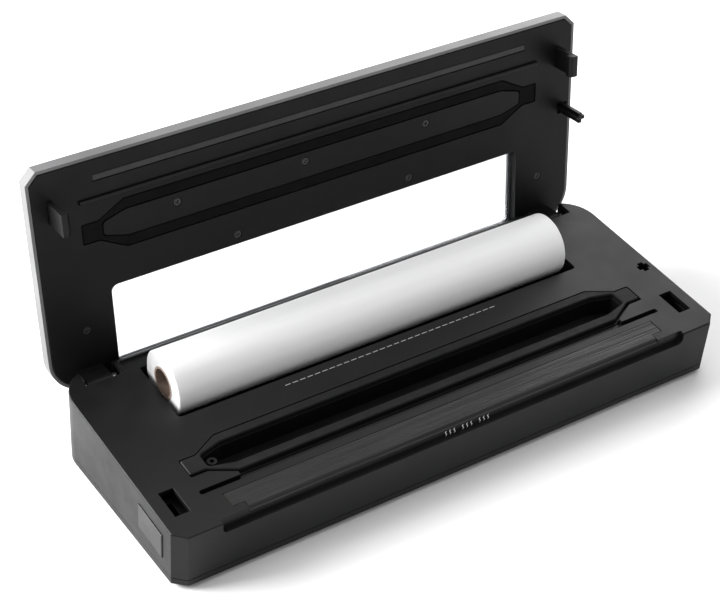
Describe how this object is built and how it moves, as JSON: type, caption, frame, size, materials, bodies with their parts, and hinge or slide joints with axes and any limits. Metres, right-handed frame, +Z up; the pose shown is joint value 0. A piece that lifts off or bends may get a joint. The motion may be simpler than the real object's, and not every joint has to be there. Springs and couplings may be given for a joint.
{
  "type": "vacuum sealer",
  "caption": "Countertop vacuum sealer with a wedge base, hinged lid with a clear domed window, bag roll bay, vacuum chamber, heat seal bar and side release buttons.",
  "frame": {"origin": "centre of the bounding box of the object with its lid open, on the surface that it stands on", "axes": "+X along the length to the user's right, +Y to the back where the hinges are, +Z up"},
  "size_m": [0.3834, 0.1821, 0.1839],
  "materials": {
    "shell_black": "satin",
    "lid_satin": "satin",
    "clear_smoke": "gloss",
    "seal_rubber": "matte",
    "silicone_strip": "matte",
    "bag_film": "satin",
    "core_board": "matte",
    "bar_resin": "matte",
    "heating_ribbon": "satin",
    "slip_tape": "satin",
    "bright_steel": "satin",
    "black_screws": "satin",
    "button_black": "satin",
    "panel_gloss": "gloss",
    "key_grey": "satin",
    "lens_green": "gloss",
    "board_green": "satin",
    "component_black": "satin",
    "copper_winding": "gloss",
    "core_steel": "satin",
    "motor_can": "satin",
    "pump_white": "matte",
    "hose_clear": "gloss",
    "brass_pins": "polished",
    "switch_grey": "satin"
  },
  "bodies": {
    "base": {"base_housing": "shell_black", "bottom_cover": "shell_black", "chamber_tray": "shell_black", "roll_tray": "shell_black", "chamber_gasket": "seal_rubber", "suction_port": "key_grey", "suction_hose": "hose_clear", "heater_bar": "bar_resin", "heating_wire": "heating_ribbon", "ptfe_tape": "slip_tape", "hinge_bracket_left": "shell_black", "hinge_bracket_right": "shell_black", "hinge_pin_left": "bright_steel", "hinge_pin_right": "bright_steel", "latch_spring_left": "bright_steel", "latch_spring_right": "bright_steel", "microswitch": "switch_grey", "vacuum_pump": "pump_white", "pump_motor": "motor_can", "transformer_core": "core_steel", "transformer_winding": "copper_winding", "circuit_board": "board_green", "board_components": "component_black", "power_inlet": "shell_black", "inlet_pins": "brass_pins", "base_screws": "black_screws", "foot_front_left": "seal_rubber", "foot_rear_left": "seal_rubber", "foot_front_right": "seal_rubber", "foot_rear_right": "seal_rubber"},
    "lid": {"lid_inner_panel": "shell_black", "lid_outer_cover": "lid_satin", "lid_screws": "black_screws", "window_dome": "clear_smoke", "lid_gasket": "seal_rubber", "press_strip": "silicone_strip", "clamp_rib": "silicone_strip", "latch_hook_left": "shell_black", "latch_hook_right": "shell_black", "switch_pin": "shell_black", "control_panel": "panel_gloss", "lid_circuit_board": "board_green", "indicator_lenses": "lens_green"},
    "bag_roll": {"bag_film": "bag_film", "roll_core": "core_board"},
    "release_left": {"release_button_left": "button_black", "latch_slider_left": "switch_grey"},
    "release_right": {"release_button_right": "button_black", "latch_slider_right": "switch_grey"},
    "switch_plunger": {"switch_plunger": "key_grey"},
    "key_power": {"key_power": "key_grey"},
    "key_vacuum_seal": {"key_vacuum_seal": "key_grey"},
    "key_seal": {"key_seal": "key_grey"},
    "key_gentle": {"key_gentle": "key_grey"}
  },
  "joints": [
    {"name": "lid_hinge", "type": "hinge", "parent": "base", "child": "lid", "pos_m": [0, 0.05093, 0.04323], "axis": [1, 0, 0], "range_deg": [0, 98.6]},
    {"name": "bag_roll_turn", "type": "hinge", "parent": "base", "child": "bag_roll", "pos_m": [0, 0.01994, 0.054], "axis": [1, 0, 0], "continuous": true},
    {"name": "release_left_press", "type": "slide", "parent": "base", "child": "release_left", "axis": [1, 0, 0], "range_m": [0, 0.003], "stiffness_N_per_m": 500, "springref_m": -0.002, "deforming": ["latch_spring_left"]},
    {"name": "release_right_press", "type": "slide", "parent": "base", "child": "release_right", "axis": [-1, 0, 0], "range_m": [0, 0.003], "stiffness_N_per_m": 500, "springref_m": -0.002, "deforming": ["latch_spring_right"]},
    {"name": "switch_plunger_press", "type": "slide", "parent": "base", "child": "switch_plunger", "axis": [0, 0.0896, -0.996], "range_m": [0, 0.001], "stiffness_N_per_m": 250, "springref_m": -0.001},
    {"name": "key_power_press", "type": "slide", "parent": "lid", "child": "key_power", "axis": [0, -0.9982, 0.0604], "range_m": [0, 0.0005], "stiffness_N_per_m": 400, "springref_m": -0.0005},
    {"name": "key_vacuum_seal_press", "type": "slide", "parent": "lid", "child": "key_vacuum_seal", "axis": [0, -0.9982, 0.0604], "range_m": [0, 0.0005], "stiffness_N_per_m": 400, "springref_m": -0.0005},
    {"name": "key_seal_press", "type": "slide", "parent": "lid", "child": "key_seal", "axis": [0, -0.9982, 0.0604], "range_m": [0, 0.0005], "stiffness_N_per_m": 400, "springref_m": -0.0005},
    {"name": "key_gentle_press", "type": "slide", "parent": "lid", "child": "key_gentle", "axis": [0, -0.9982, 0.0604], "range_m": [0, 0.0005], "stiffness_N_per_m": 400, "springref_m": -0.0005}
  ]
}
